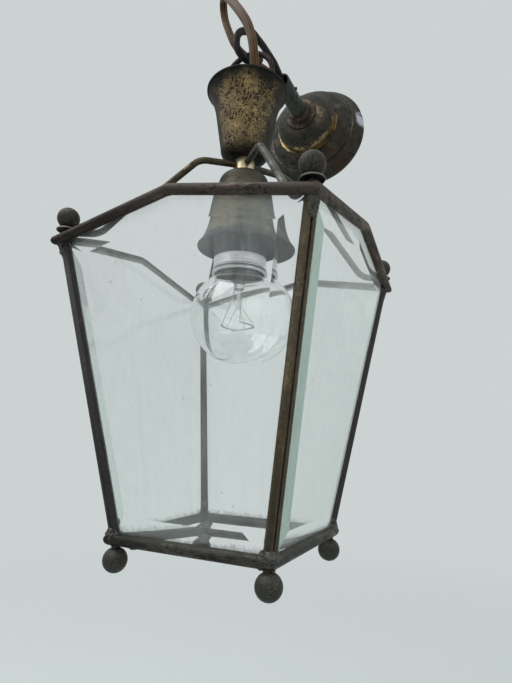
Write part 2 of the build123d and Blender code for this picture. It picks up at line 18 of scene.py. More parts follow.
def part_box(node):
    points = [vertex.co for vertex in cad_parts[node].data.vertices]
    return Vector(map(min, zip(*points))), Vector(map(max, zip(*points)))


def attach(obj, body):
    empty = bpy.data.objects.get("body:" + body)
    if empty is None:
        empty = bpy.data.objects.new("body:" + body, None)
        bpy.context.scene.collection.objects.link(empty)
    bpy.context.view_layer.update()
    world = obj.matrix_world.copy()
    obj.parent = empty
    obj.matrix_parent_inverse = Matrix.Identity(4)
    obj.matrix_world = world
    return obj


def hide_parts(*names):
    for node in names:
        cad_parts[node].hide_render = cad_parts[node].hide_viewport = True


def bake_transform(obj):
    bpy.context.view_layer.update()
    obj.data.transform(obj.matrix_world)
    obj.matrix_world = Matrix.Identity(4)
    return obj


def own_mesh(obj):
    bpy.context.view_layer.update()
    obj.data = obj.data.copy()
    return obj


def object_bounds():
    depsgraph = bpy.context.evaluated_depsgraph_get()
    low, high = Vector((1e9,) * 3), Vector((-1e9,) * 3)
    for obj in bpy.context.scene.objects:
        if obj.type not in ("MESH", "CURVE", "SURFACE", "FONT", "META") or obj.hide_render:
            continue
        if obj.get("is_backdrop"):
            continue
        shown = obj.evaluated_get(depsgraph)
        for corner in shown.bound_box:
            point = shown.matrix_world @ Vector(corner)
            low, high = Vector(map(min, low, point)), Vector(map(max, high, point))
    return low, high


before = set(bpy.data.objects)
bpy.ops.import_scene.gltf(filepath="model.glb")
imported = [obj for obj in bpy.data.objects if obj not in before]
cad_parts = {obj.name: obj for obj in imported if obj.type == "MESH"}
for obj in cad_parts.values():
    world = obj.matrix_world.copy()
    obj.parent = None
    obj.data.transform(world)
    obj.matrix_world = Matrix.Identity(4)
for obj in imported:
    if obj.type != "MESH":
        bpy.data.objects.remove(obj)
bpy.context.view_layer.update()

mm = 0.001

# %% [markdown]
# ## Where things are
# Every place in this lesson is worked out from the boxes of the pieces that arrived, so the dressing stays
# on the lantern if the lantern changes. Only small sizes, such as a rod's radius, are written down here.


# %% Landmarks of the frame
def middle(node):
    """The centre of a piece's box."""
    low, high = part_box(node)
    return (Vector(low) + Vector(high)) / 2


def half_size(node, way=0):
    """Half of the size of a piece's box: across, or along another way."""
    low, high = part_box(node)
    return (high[way] - low[way]) / 2


top_rail_r = 2.9 * mm
bottom_rail_r = 3.1 * mm
stud_r = 1.5 * mm
axis = middle("centre_tube")
foot_z = middle("bottom_rail_front").z
bottom_half = axis.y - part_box("bottom_rail_front")[0][1] - bottom_rail_r
top_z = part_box("top_rail_front")[0][2] + top_rail_r
top_half = half_size("finial_studs") - stud_r
corners = {
    "front_left": Vector((-1, -1, 0)),
    "front_right": Vector((1, -1, 0)),
    "back_right": Vector((1, 1, 0)),
    "back_left": Vector((-1, 1, 0)),
}
sides = {
    "front": Vector((0, -1, 0)),
    "right": Vector((1, 0, 0)),
    "back": Vector((0, 1, 0)),
    "left": Vector((-1, 0, 0)),
}
print("frame height", round(top_z - foot_z, 4), "half widths", round(bottom_half, 4), round(top_half, 4))

# %% [markdown]
# ## The camera
# A hanging lantern is looked at from below and from one side, so that the lamp shows through the front
# pane and two panes share the view. The camera stands close, with a wide lens, which makes the near corner
# large. It is aimed with a tracking turn and then rolled a little about its own axis.


# %% Camera
def linked(name, data):
    """A new object in the scene."""
    made = bpy.data.objects.new(name, data)
    bpy.context.collection.objects.link(made)
    return made


camera = linked("camera", bpy.data.cameras.new("camera"))
stand = Vector((0.13915, -0.39882, -0.27960))
target = Vector((0.01241, -0.14000, -0.22372))
turn = (target - stand).to_track_quat("-Z", "Y").to_matrix().to_4x4()
roll = Matrix.Rotation(radians(1.81), 4, "Z")
camera.matrix_world = Matrix.Translation(stand) @ turn @ roll
camera.data.lens = 25.73
camera.data.sensor_width = 36.0
camera.data.clip_start = 0.01
bpy.context.scene.camera = camera
bpy.context.scene.view_settings.view_transform = "Standard"
print("camera stands", round((target - stand).length, 3), "m from its target")

# %% [markdown]
# ## Helpers for node trees
# A material here is a small tree of nodes. These helpers place a node, set or link its inputs by name and
# hand back a socket, so that a finish reads as a few lines of plain steps.


# %% Node helpers
def feed(tree, socket, value):
    """Links an input or sets its value; a colour may come without its alpha."""
    if isinstance(value, bpy.types.NodeSocket):
        tree.links.new(value, socket)
    else:
        socket.default_value = (*value, 1.0)[:4] if socket.type == "RGBA" else value


def add(tree, kind, inputs=None, **settings):
    """A node of that kind with its settings, and with its inputs linked or set."""
    made = tree.nodes.new(kind)
    for name, value in settings.items():
        setattr(made, name, value)
    for name, value in (inputs or {}).items():
        feed(tree, made.inputs[name], value)
    return made


def mix(tree, factor, first, second):
    """A colour between two colours."""
    made = add(tree, "ShaderNodeMix", data_type="RGBA")
    named = {socket.identifier: socket for socket in made.inputs}
    for key, value in (("Factor_Float", factor), ("A_Color", first), ("B_Color", second)):
        feed(tree, named[key], value)
    return next(socket for socket in made.outputs if socket.identifier == "Result_Color")


def maths(tree, first, second=0.0, operation="ADD", clamp=False):
    """One sum over two sockets or numbers."""
    made = add(tree, "ShaderNodeMath", {0: first, 1: second}, operation=operation, use_clamp=clamp)
    return made.outputs[0]


plus, minus, times, larger = (
    partial(maths, operation=kind) for kind in ("ADD", "SUBTRACT", "MULTIPLY", "MAXIMUM")
)


def scaled(tone, part):
    """A colour made darker by a factor."""
    return tuple(value * part for value in tone)


def band(tree, value, low, high, from_to=(0.0, 1.0)):
    """A value run smoothly from one level to another as it crosses from low to high."""
    steps = {"Value": value, "From Min": low, "From Max": high, "To Min": from_to[0], "To Max": from_to[1]}
    return add(tree, "ShaderNodeMapRange", steps, interpolation_type="SMOOTHSTEP").outputs[0]


def speckle(tree, vector, scale, detail=4.0, roughness=0.6, distortion=0.0):
    """Cloudy noise between 0 and 1; scale is in repeats a metre."""
    steps = {"Vector": vector, "Scale": scale, "Detail": detail, "Roughness": roughness}
    return add(tree, "ShaderNodeTexNoise", {**steps, "Distortion": distortion}).outputs["Fac"]


def moved(tree, vector, location=(0, 0, 0), rotation=(0, 0, 0), scale=(1, 1, 1)):
    """Coordinates centred, turned or stretched by a Mapping node."""
    steps = {"Vector": vector, "Location": location, "Rotation": rotation, "Scale": scale}
    return add(tree, "ShaderNodeMapping", steps).outputs[0]


def split(tree, vector):
    """The three parts of a vector."""
    return add(tree, "ShaderNodeSeparateXYZ", {"Vector": vector}).outputs


def facing_up(tree):
    """1 where a surface looks straight up, -1 where it looks down."""
    return split(tree, add(tree, "ShaderNodeNewGeometry").outputs["Normal"])["Z"]


# %% [markdown]
# ## Shared effects
# Old brass, bronze and solder differ in colour, but they age in the same few ways: tarnish spreads in
# blotches, grime comes as fine specks, dust settles where a surface looks up, and hands and rain polish
# whatever stands proud. Each of those is built once as a node group, with named inputs, and every finish
# places it with values of its own.


# %% Group helper
def group(name, inputs, outputs):
    """An empty node group with float or vector inputs and float outputs."""
    tree = bpy.data.node_groups.new(name, "ShaderNodeTree")
    for label, value in inputs.items():
        kind = "NodeSocketVector" if label == "Place" else "NodeSocketFloat"
        made = tree.interface.new_socket(label, in_out="INPUT", socket_type=kind)
        if label != "Place":
            made.default_value = value
    for label in outputs:
        tree.interface.new_socket(label, in_out="OUTPUT", socket_type="NodeSocketFloat")
    return tree, tree.nodes.new("NodeGroupInput").outputs, tree.nodes.new("NodeGroupOutput").inputs


def use(tree, which, **inputs):
    """Places a shared group in a material and hands back its outputs."""
    made = add(tree, "ShaderNodeGroup", node_tree=which)
    for label, value in inputs.items():
        feed(tree, made.inputs[label.capitalize()], value)
    return made.outputs


# %% Tarnish, specks, dust and wear
tarnish_inputs = {"Place": None, "Scale": 90.0, "Coverage": 0.5, "Softness": 0.1}
tarnish, came, goes = group("tarnish", tarnish_inputs, ["Mask"])
cloud = speckle(tarnish, came["Place"], came["Scale"], 6.0, 0.68, 0.4)
fine = speckle(tarnish, came["Place"], times(tarnish, came["Scale"], 7.0), 3.0, 0.6)
both = plus(tarnish, times(tarnish, cloud, 0.72), times(tarnish, fine, 0.28))
edge = minus(tarnish, 0.86, times(tarnish, came["Coverage"], 0.72))
low_edge = minus(tarnish, edge, came["Softness"])
high_edge = plus(tarnish, edge, came["Softness"])
tarnish.links.new(band(tarnish, both, low_edge, high_edge), goes["Mask"])

specks, came, goes = group("specks", {"Place": None, "Scale": 700.0, "Amount": 0.3}, ["Mask"])
dots = speckle(specks, came["Place"], came["Scale"], 1.0, 0.5)
patchy = speckle(specks, came["Place"], times(specks, came["Scale"], 0.12), 2.0, 0.5)
level = plus(specks, times(specks, dots, 0.7), times(specks, patchy, 0.3))
start = minus(specks, 0.72, times(specks, came["Amount"], 0.3))
specks.links.new(band(specks, level, start, plus(specks, start, 0.04)), goes["Mask"])

dust, came, goes = group("dust", {"Place": None, "Scale": 250.0, "Amount": 0.5}, ["Mask"])
looks_up = band(dust, facing_up(dust), 0.05, 0.95)
broken = band(dust, speckle(dust, came["Place"], came["Scale"], 5.0, 0.7), 0.3, 0.7, (0.35, 1.0))
dust.links.new(times(dust, times(dust, looks_up, broken), came["Amount"]), goes["Mask"])

wear, came, goes = group("edge wear", {"Place": None, "Width": 0.05, "Breaks": 300.0}, ["Crest", "Groove"])
bent = add(wear, "ShaderNodeNewGeometry").outputs["Pointiness"]
ragged = times(wear, minus(wear, speckle(wear, came["Place"], came["Breaks"]), 0.5), 0.05)
bent = plus(wear, bent, ragged)
wear.links.new(band(wear, bent, 0.5, plus(wear, 0.5, came["Width"])), goes["Crest"])
wear.links.new(band(wear, bent, 0.5, minus(wear, 0.5, came["Width"])), goes["Groove"])

relief, came, goes = group("relief", {"Place": None, "Scale": 400.0, "Pitting": 0.5}, ["Height"])
waves = speckle(relief, came["Place"], came["Scale"], 5.0, 0.6)
pits = band(relief, speckle(relief, came["Place"], times(relief, came["Scale"], 3.0), 2.0), 0.55, 0.75)
sunk = times(relief, pits, came["Pitting"])
relief.links.new(minus(relief, waves, sunk), goes["Height"])
print("shared effects:", [made.name for made in bpy.data.node_groups])


# %% Material helpers
def new_material(name):
    """A material with one Principled shader: its tree, shader, output and the place on the piece."""
    material = bpy.data.materials.new(name)
    material.use_nodes = True
    tree = material.node_tree
    tree.nodes.clear()
    shader = add(tree, "ShaderNodeBsdfPrincipled")
    output = add(tree, "ShaderNodeOutputMaterial", {"Surface": shader.outputs[0]})
    return material, tree, shader, output, add(tree, "ShaderNodeTexCoord").outputs["Object"]


def set_inputs(tree, shader, **values):
    """Links or sets a shader's inputs by name, such as Base_Color or Roughness."""
    for label, value in values.items():
        feed(tree, shader.inputs[label.replace("_", " ")], value)


def bump(tree, height, distance, strength=1.0):
    """A normal raised by a height, whose full step is distance metres."""
    steps = {"Height": height, "Distance": distance, "Strength": strength}
    return add(tree, "ShaderNodeBump", steps).outputs[0]


# %% [markdown]
# ## Aged metal
# Most of the lantern is brass and bronze that has not been cleaned for decades. It is still metal where it
# is worn, and closer to a dry, matt crust where it is tarnished. So one function mixes a bright colour and
# two tarnish colours, and the same mask that darkens the colour also makes it rougher and less metallic.


# %% Aged metal
def aged(name, bright, dull, deep, coverage=0.5, scale=90.0, stretch=(1, 1, 1), dust_and_sheen=None, lift=0.25,
         spots=0.3, shine=(0.36, 0.62), bumps=0.00012, extra=None):
    """Brass or bronze under patchy tarnish: bright where worn, dull over most of it, deep brown in spots."""
    material, tree, shader, _, place = new_material(name)
    run = moved(tree, place, scale=stretch)
    cover = use(tree, tarnish, place=run, scale=scale, coverage=coverage, softness=0.12)["Mask"]
    dark = use(tree, tarnish, place=moved(tree, run, location=(3, 1, 7)), scale=scale * 1.7, coverage=0.42,
               softness=0.06)["Mask"]
    dots = use(tree, specks, place=place, scale=900.0, amount=spots)["Mask"]
    colour = mix(tree, cover, bright, dull)
    colour = mix(tree, dark, colour, deep)
    colour = mix(tree, dots, colour, scaled(deep, 0.35))
    # Dust where a surface looks up; on the rails this tone is also a painted highlight on their tops.
    if dust_and_sheen:
        film = use(tree, dust, place=place, scale=260.0, amount=lift)["Mask"]
        colour = mix(tree, film, colour, dust_and_sheen)
    crust = larger(tree, cover, dark)
    if extra:
        colour, crust = extra(tree, place, colour, crust)
    height = use(tree, relief, place=run, scale=420.0, pitting=0.6)["Height"]
    set_inputs(
        tree, shader, Base_Color=colour, Roughness=band(tree, crust, 0.0, 1.0, shine), Specular_IOR_Level=0.3,
        Metallic=band(tree, crust, 0.0, 1.0, (0.95, 0.55)), Normal=bump(tree, height, bumps),
    )
    return material


def dress(material, *nodes):
    """Gives the pieces that arrived this material in every slot."""
    for node in nodes:
        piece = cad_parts[node]
        if not piece.data.materials:
            piece.data.materials.append(material)
        for slot in piece.material_slots:
            slot.material = material
    print(material.name, "on", ", ".join(nodes))


# %% [markdown]
# ### The bells
# Each cup is spun brass. The outside has browned, with a mottled gold middle, and it darkens towards its rim
# and its closed end. Painted shade darkens the sides that turn away from the front and, on the lower cup, the
# inside. The height up the cup, read from the piece's own place, drives the bands, and its place around the
# cup drives the painted shade on the sides.


# %% Bell finishes
def rim_shade(rim, other_end, tone, inside=False):
    """Darkens a bell at its rim and closed end, and with painted shade on its sides and, if it opens
    downwards, inside.
    """

    def shade(tree, place, colour, crust):
        height = split(tree, place)["Z"]
        wobble = times(tree, minus(tree, speckle(tree, place, 70.0), 0.5), 16 * mm)
        height = plus(tree, height, wobble)
        towards = rim - other_end
        at_rim = band(tree, height, rim - towards * 0.20, rim - towards * 0.05)
        at_end = band(tree, height, other_end + towards * 0.30, other_end, (0.0, 0.75))
        # Painted shade: the cup darkens on the sides that turn away from the front.
        parts = split(tree, moved(tree, place, location=(0, -axis.y, 0)))
        forward = minus(tree, times(tree, parts["X"], 0.40), parts["Y"])
        forward = plus(tree, forward, wobble)
        side_shade = band(tree, forward, 18 * mm, 8 * mm, (0.0, 0.95))
        dark = larger(tree, larger(tree, at_rim, at_end), side_shade)
        # Painted shade inside a cup that opens downwards, where its surface looks down.
        if inside:
            dark = larger(tree, dark, band(tree, facing_up(tree), 0.02, -0.2))
        return mix(tree, dark, colour, tone), larger(tree, crust, dark)

    return shade


closed_end, open_rim = (level[2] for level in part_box("upper_bell"))
dress(aged(
    "upper_bell_brass", (0.46, 0.335, 0.14), (0.19, 0.142, 0.070), (0.034, 0.029, 0.021), coverage=0.60,
    scale=110.0, spots=0.60, extra=rim_shade(open_rim, closed_end, (0.015, 0.015, 0.012)),
), "upper_bell")
open_rim, closed_end = (level[2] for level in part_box("lower_bell"))
dress(aged(
    "lower_bell_brass", (0.27, 0.225, 0.13), (0.120, 0.108, 0.074), (0.050, 0.048, 0.038), coverage=0.66,
    scale=60.0, stretch=(1, 1, 4), spots=0.35,
    extra=rim_shade(open_rim, closed_end, (0.022, 0.024, 0.025), inside=True),
), "lower_bell")
dress(aged(
    "fresh_brass", (0.70, 0.60, 0.38), (0.50, 0.42, 0.25), (0.22, 0.18, 0.11), coverage=0.35, scale=140.0,
    spots=0.2, shine=(0.34, 0.5),
), "centre_tube", "arm_hub")

# %% [markdown]
# ### The rose
# The rose is a stamped disc in steps. Its domed middle and the crest of each step are rubbed back to
# metal, and the hollows stay dark. All of that follows rings about the rose's axis, so the distance from
# that axis is one input, and the noise only breaks the rings up.


# %% Rose finish
def away_from(tree, value, level):
    """How far a value is from a level, on either side."""
    return maths(tree, minus(tree, value, level), operation="ABSOLUTE")


def around(tree, across, along):
    """How far a point is from an axis, from its two distances beside it."""
    flat = add(tree, "ShaderNodeCombineXYZ", {"X": across, "Y": along}).outputs[0]
    return add(tree, "ShaderNodeVectorMath", {0: flat}, operation="LENGTH").outputs["Value"]


def near(tree, place, spot, radius, core):
    """A mask that is full within a core about a spot and fades to nothing at a radius."""
    away = add(tree, "ShaderNodeVectorMath", {0: place, 1: spot}, operation="DISTANCE").outputs["Value"]
    return band(tree, away, radius, core)


def ring_wear(tree, place, colour, crust):
    """Rubs a turned piece bright on rings, at one side of its dome and at one place on its rim."""
    parts = split(tree, place)
    ragged = times(tree, minus(tree, speckle(tree, place, 260.0), 0.5), 4 * mm)
    out = plus(tree, around(tree, parts["X"], parts["Z"]), ragged)
    lower = band(tree, parts["Z"], 10 * mm, -4 * mm)
    for centre, half_breadth, tone in (
        (27.0 * mm, 1.6 * mm, (0.36, 0.27, 0.12)),
        (38.9 * mm, 0.8 * mm, (0.12, 0.11, 0.085)),
    ):
        ring = band(tree, away_from(tree, out, centre), half_breadth, half_breadth * 0.35)
        worn = band(tree, speckle(tree, place, 110.0), 0.36, 0.56)
        ring = times(tree, ring, times(tree, worn, lower))
        colour = mix(tree, ring, colour, tone)
        crust = minus(tree, crust, ring, clamp=True)
    for spot, radius, tone in (
        (Vector((11, -34, -3)) * mm, 13 * mm, (0.17, 0.140, 0.085)),
        (Vector((45, -2, 6)) * mm, 10 * mm, (0.46, 0.50, 0.54)),
    ):
        broken = band(tree, speckle(tree, place, 240.0), 0.34, 0.56)
        rub = times(tree, near(tree, place, spot, radius, radius * 0.5), broken)
        colour = mix(tree, rub, colour, tone)
        crust = minus(tree, crust, rub, clamp=True)
    low_side = Vector((24, -10, -32)) * mm
    broken = band(tree, speckle(tree, place, 160.0), 0.42, 0.64)
    rust = times(tree, near(tree, place, low_side, 30 * mm, 8 * mm), broken)
    return mix(tree, rust, colour, (0.055, 0.033, 0.018)), crust


dress(aged(
    "rose_bronze", (0.115, 0.098, 0.062), (0.040, 0.037, 0.029), (0.015, 0.014, 0.012), coverage=0.66,
    scale=110.0, spots=0.35, dust_and_sheen=(0.10, 0.095, 0.08), lift=0.2, extra=ring_wear,
), "wall_rose")
dress(aged(
    "collar_bronze", (0.10, 0.075, 0.05), (0.040, 0.031, 0.022), (0.012, 0.010, 0.008), coverage=0.55,
    scale=160.0,
), "rose_collar", "arm_backnut")
dress(aged(
    "tube_bronze", (0.10, 0.105, 0.085), (0.042, 0.046, 0.038), (0.018, 0.019, 0.016), coverage=0.6,
    scale=120.0, stretch=(1, 0.4, 1), dust_and_sheen=(0.12, 0.12, 0.10), lift=0.3,
), "arm_tube", "hook_pin")

# %% [markdown]
# ### Rails, posts and arms
# A rail is drawn rod: tarnish and wear lie along it, so the noise is stretched along the rod. Its top is
# lighter grey-green, dust and a painted highlight together, and its underside stays nearly black. An arm is
# darkened towards its foot with painted shade, beside the solder.


# %% Rod finishes
def dark_end(tree, place, colour, crust):
    """Darkens a rail towards the left, where it turns away from the light."""
    shaded = band(tree, split(tree, place)["X"], -12 * mm, -42 * mm, (0.0, 0.7))
    return mix(tree, shaded, colour, (0.014, 0.012, 0.011)), crust


rail_look = dict(coverage=0.58, scale=170.0, spots=0.4, lift=0.5, extra=dark_end)
# The grey-green dust tone on a rail's top is also a painted highlight where the rod looks up.
upper_rail = dict(
    bright=(0.120, 0.090, 0.064), dull=(0.060, 0.048, 0.040), deep=(0.020, 0.017, 0.014),
    dust_and_sheen=(0.12, 0.115, 0.09), **rail_look,
)
lower_rail = dict(
    bright=(0.088, 0.078, 0.060), dull=(0.042, 0.040, 0.035), deep=(0.014, 0.014, 0.012),
    dust_and_sheen=(0.10, 0.105, 0.09), **rail_look,
)
for height, tones in (("top", upper_rail), ("bottom", lower_rail)):
    along_x = aged(f"{height}_rail_brass_across", stretch=(0.22, 1, 1), **tones)
    along_y = aged(f"{height}_rail_brass_deep", stretch=(1, 0.22, 1), **tones)
    dress(along_x, f"{height}_rail_front", f"{height}_rail_back")
    dress(along_y, f"{height}_rail_right", f"{height}_rail_left")


def shaded_foot(tree, place, colour, crust):
    """Darkens an arm towards its foot with painted shade, beside the solder."""
    foot = band(tree, split(tree, place)["Z"], top_z + 22 * mm, top_z + 8 * mm, (0.0, 0.85))
    return mix(tree, foot, colour, (0.022, 0.019, 0.016)), larger(tree, crust, foot)


arm_look = dict(coverage=0.55, scale=130.0, dust_and_sheen=(0.15, 0.15, 0.125), lift=0.4, extra=shaded_foot)
iron_look = dict(coverage=0.6, scale=150.0, lift=0.3)
golden_arm = aged(
    "arm_brass_golden", (0.17, 0.130, 0.070), (0.072, 0.058, 0.038), (0.020, 0.017, 0.013), **arm_look,
)
grey_arm = aged(
    "arm_brass_grey", (0.16, 0.158, 0.132), (0.078, 0.080, 0.070), (0.026, 0.027, 0.023), **arm_look,
)
black_iron = aged(
    "hook_iron", (0.055, 0.050, 0.046), (0.020, 0.019, 0.018), (0.010, 0.010, 0.010),
    dust_and_sheen=(0.06, 0.055, 0.05), **iron_look,
)
red_iron = aged(
    "ring_iron", (0.075, 0.045, 0.036), (0.032, 0.021, 0.018), (0.012, 0.010, 0.010),
    dust_and_sheen=(0.08, 0.06, 0.05), **iron_look,
)
dress(golden_arm, "arm_front_left", "arm_back_left")
dress(grey_arm, "arm_front_right", "arm_back_right")
dress(black_iron, "hook")
dress(red_iron, "suspension_ring", "suspension_bail")

# %% [markdown]
# ### Merged copies
# A piece that arrives is loose triangles, so nothing can tell where its edges are. Where wear has to find
# an edge or a groove, a copy of the piece has its corners merged and stands for it.


# %% Merged copy helper
def place_piece(name, mesh, body, material, stands_for=()):
    """Puts a finished mesh in the scene as a piece that rides on a body, or on none yet."""
    piece = linked(name, mesh)
    mesh.materials.clear()
    mesh.materials.append(material)
    if body:
        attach(piece, body)
    if stands_for:
        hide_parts(*stands_for)
    return piece


def merged(node):
    """A bmesh copy of a piece that arrived, with the corners of its triangles joined."""
    shape = bmesh.new()
    shape.from_mesh(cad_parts[node].data)
    bmesh.ops.remove_doubles(shape, verts=shape.verts, dist=0.002 * mm)
    return shape


def plain_mesh(name, shape):
    """Turns a bmesh into a mesh and frees it."""
    mesh = bpy.data.meshes.new(name)
    shape.to_mesh(mesh)
    shape.free()
    return mesh


def to_mesh(name, shape, sharp=35.0):
    """Turns a bmesh into a mesh, smooth except across edges sharper than an angle."""
    mesh = plain_mesh(name, shape)
    mesh.shade_smooth()
    mesh.set_sharp_from_angle(angle=radians(sharp))
    return mesh


def joined(name, meshes):
    """Several meshes as one."""
    shape = bmesh.new()
    for mesh in meshes:
        shape.from_mesh(mesh)
    bmesh.ops.remove_doubles(shape, verts=shape.verts, dist=0.0005 * mm)
    bmesh.ops.recalc_face_normals(shape, faces=shape.faces)
    made = plain_mesh(name, shape)
    made.shade_smooth()
    return made


# %% [markdown]
# ### Posts
# The posts are rolled tube with an open seam along the outer corner. The nearest one still shows bronze
# where it is rubbed, and the others have gone grey.


# %% Posts with a worn seam
def seam_wear(rubbed_tone, lip_tone):
    """Light patches where a post is rubbed, light lips along its seam, and black down inside it."""

    def worn_seam(tree, place, colour, crust):
        worn = use(tree, wear, place=place, width=0.06, breaks=240.0)
        rubbed = use(tree, tarnish, place=place, scale=520.0, coverage=0.40, softness=0.08)["Mask"]
        patches = band(tree, speckle(tree, place, 90.0), 0.40, 0.60, (0.0, 0.6))
        colour = mix(tree, times(tree, rubbed, patches), colour, rubbed_tone)
        colour = mix(tree, times(tree, worn["Crest"], 0.35), colour, lip_tone)
        colour = mix(tree, worn["Groove"], colour, (0.008, 0.007, 0.006))
        return colour, larger(tree, crust, worn["Groove"])

    return worn_seam


post_look = dict(coverage=0.60, scale=150.0, stretch=(1, 1, 0.3), spots=0.5, shine=(0.40, 0.66))
bronze_post = aged(
    "post_brass_bronze", (0.165, 0.125, 0.075), (0.036, 0.031, 0.023), (0.010, 0.009, 0.007),
    extra=seam_wear((0.23, 0.195, 0.14), (0.15, 0.118, 0.070)), **post_look,
)
grey_post = aged(
    "post_brass_grey", (0.045, 0.044, 0.042), (0.020, 0.020, 0.020), (0.009, 0.009, 0.009),
    extra=seam_wear((0.070, 0.071, 0.069), (0.085, 0.082, 0.074)), **post_look,
)
for corner in corners:
    mesh = to_mesh(f"worn_post_{corner}", merged(f"post_{corner}"))
    tone = bronze_post if corner == "front_right" else grey_post
    place_piece(f"worn_post_{corner}", mesh, "lantern", tone, [f"post_{corner}"])
print("merged posts:", len(corners))

# %% [markdown]
# ### Balls and saucers
# The balls are brass gone matt and olive-grey, with fine light scratches. The saucer under each top ball
# is a thin dished washer: black in its hollow, with a light line where its rim has been rubbed.


# %% Ball and saucer finishes
def scratched(tree, place, colour, crust):
    """Fine light scratches in two directions, broken up by a cloud."""
    for turn_to in ((0.5, 0.2, 0.9), (1.3, 0.8, 0.1)):
        lines = speckle(tree, moved(tree, place, rotation=turn_to, scale=(1, 0.06, 1)), 1500.0, 2.0, 0.5)
        patch = band(tree, speckle(tree, moved(tree, place, location=turn_to), 120.0), 0.45, 0.6)
        mark = times(tree, band(tree, lines, 0.60, 0.68), patch)
        colour = mix(tree, times(tree, mark, 0.6), colour, (0.17, 0.163, 0.138))
    return colour, crust


dress(aged(
    "ball_brass", (0.070, 0.064, 0.050), (0.040, 0.041, 0.035), (0.018, 0.018, 0.016), coverage=0.6,
    scale=420.0, spots=0.28, dust_and_sheen=(0.12, 0.112, 0.092), lift=0.5, shine=(0.42, 0.62), extra=scratched,
), "top_balls", "bottom_balls")
saucer_r = 5.95 * mm


def rubbed_rim(tree, place, colour, crust):
    """A light line on the saucer's rim and black in its hollow."""
    parts = split(tree, moved(tree, place, location=(0, -axis.y, 0)))
    stand_off = half_size("finial_saucers") - saucer_r
    beside = (maths(tree, parts[way], operation="ABSOLUTE") for way in "XY")
    out = around(tree, *(minus(tree, distance, stand_off) for distance in beside))
    rim = band(tree, out, saucer_r - 0.3 * mm, saucer_r - 0.05 * mm)
    within = band(tree, out, saucer_r - 0.65 * mm, saucer_r - 1.15 * mm)
    hollow = times(tree, band(tree, facing_up(tree), 0.1, -0.3), within)
    colour = mix(tree, rim, colour, (0.24, 0.23, 0.195))
    return mix(tree, hollow, colour, (0.008, 0.008, 0.008)), larger(tree, crust, hollow)


dress(aged(
    "saucer_brass", (0.11, 0.10, 0.078), (0.045, 0.043, 0.037), (0.016, 0.016, 0.014), coverage=0.6,
    scale=260.0, dust_and_sheen=(0.12, 0.115, 0.096), lift=0.5, extra=rubbed_rim,
), "finial_saucers")

# %% [markdown]
# ## The lampholder and its inside
# The barrel is plated: pale, faintly lilac, drawn round in fine lines by the lathe, and painted shade darkens
# it above a height, where it reaches up inside the bell. What is inside the holder and behind the rose is
# seldom seen, but it is made and finished like the rest.


# %% Holder finishes
def plated(name, tone, line_stretch, dark_line=None, shaded_above=None):
    """Bright plated metal with fine lines, greyed a little by grime, and with painted shade above a height if
    one is given.
    """
    material, tree, shader, _, place = new_material(name)
    lines = speckle(tree, moved(tree, place, scale=line_stretch), 900.0, 3.0, 0.6)
    grey = use(tree, tarnish, place=place, scale=120.0, coverage=0.4, softness=0.2)["Mask"]
    colour = mix(tree, band(tree, lines, 0.3, 0.7), tone, scaled(tone, 0.72))
    colour = mix(tree, times(tree, grey, 0.5), colour, scaled(tone, 0.4))
    if dark_line:
        away = away_from(tree, split(tree, place)["Z"], dark_line)
        colour = mix(tree, band(tree, away, 0.7 * mm, 0.3 * mm), colour, (0.05, 0.05, 0.055))
    metal, rough = 1.0, band(tree, lines, 0.3, 0.7, (0.32, 0.46))
    # Painted shade above a height, where the barrel reaches up inside the bell.
    if shaded_above:
        bell_shade = band(tree, split(tree, place)["Z"], shaded_above, shaded_above + 0.5 * mm)
        colour = mix(tree, bell_shade, colour, (0.050, 0.054, 0.058))
        metal = minus(tree, 1.0, bell_shade)
        rough = larger(tree, rough, times(tree, bell_shade, 0.7))
    raised = bump(tree, lines, 0.00003)
    set_inputs(tree, shader, Base_Color=colour, Metallic=metal, Roughness=rough, Normal=raised)
    return material


lip_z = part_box("holder_barrel")[0][2]
# Above the second height the barrel gets painted shade, up inside the lower bell.
line_z, shade_z = lip_z + 2.1 * mm, lip_z + 9.8 * mm
dress(plated("barrel_plate", (0.86, 0.85, 0.87), (0.05, 0.05, 1), line_z, shade_z), "holder_barrel")
dress(plated("holder_brass", (0.72, 0.60, 0.36), (0.05, 0.05, 1)), "holder_cap", "bulb_cap", "bulb_pins",
      "holder_plungers", "holder_screws", "terminal_screws", "rose_screws")
dress(plated("zinc_steel", (0.55, 0.56, 0.58), (1, 1, 0.1)), "wall_plate")


def fired(name, tone, glaze):
    """Porcelain or moulded insulator: one pale or dark body with faint clouds and fine dirt."""
    material, tree, shader, _, place = new_material(name)
    cloud_mask = use(tree, tarnish, place=place, scale=180.0, coverage=0.4, softness=0.25)["Mask"]
    colour = mix(tree, times(tree, cloud_mask, 0.4), tone, scaled(tone, 0.7))
    dots = use(tree, specks, place=place, scale=800.0, amount=0.2)["Mask"]
    colour = mix(tree, dots, colour, scaled(tone, 0.35))
    height = use(tree, relief, place=place, scale=300.0, pitting=0.3)["Height"]
    raised = bump(tree, height, 0.00004)
    set_inputs(tree, shader, Base_Color=colour, Roughness=glaze, Normal=raised)
    return material


dress(fired("porcelain", (0.72, 0.70, 0.64), 0.25), "holder_socket", "holder_insulator", "terminal_block")
dress(fired("black_vitrite", (0.020, 0.020, 0.026), 0.12), "bulb_insulator")
dress(fired("core_covering", (0.16, 0.085, 0.04), 0.45), "holder_leads")
dress(aged(
    "lamp_wire", (0.50, 0.48, 0.46), (0.30, 0.29, 0.28), (0.12, 0.11, 0.10), coverage=0.4, scale=400.0,
), "bulb_leads", "bulb_supports")

# %% [markdown]
# ## Glass
# The panes are thick plate with a wide bevel, and the bulb is thin blown glass. Both are clear, so the
# shader is a smooth Principled with its transmission full on. A shadow ray would find that shader solid
# and leave everything behind the pane in the dark, so for shadow rays it is swapped for a see-through one.
# The green of old plate comes from absorption inside it: only a long path shows it. Light that enters a
# bevel can be trapped between the faces for dozens of turns, so it is let go at the first of them, in the
# green that such a long way gives.


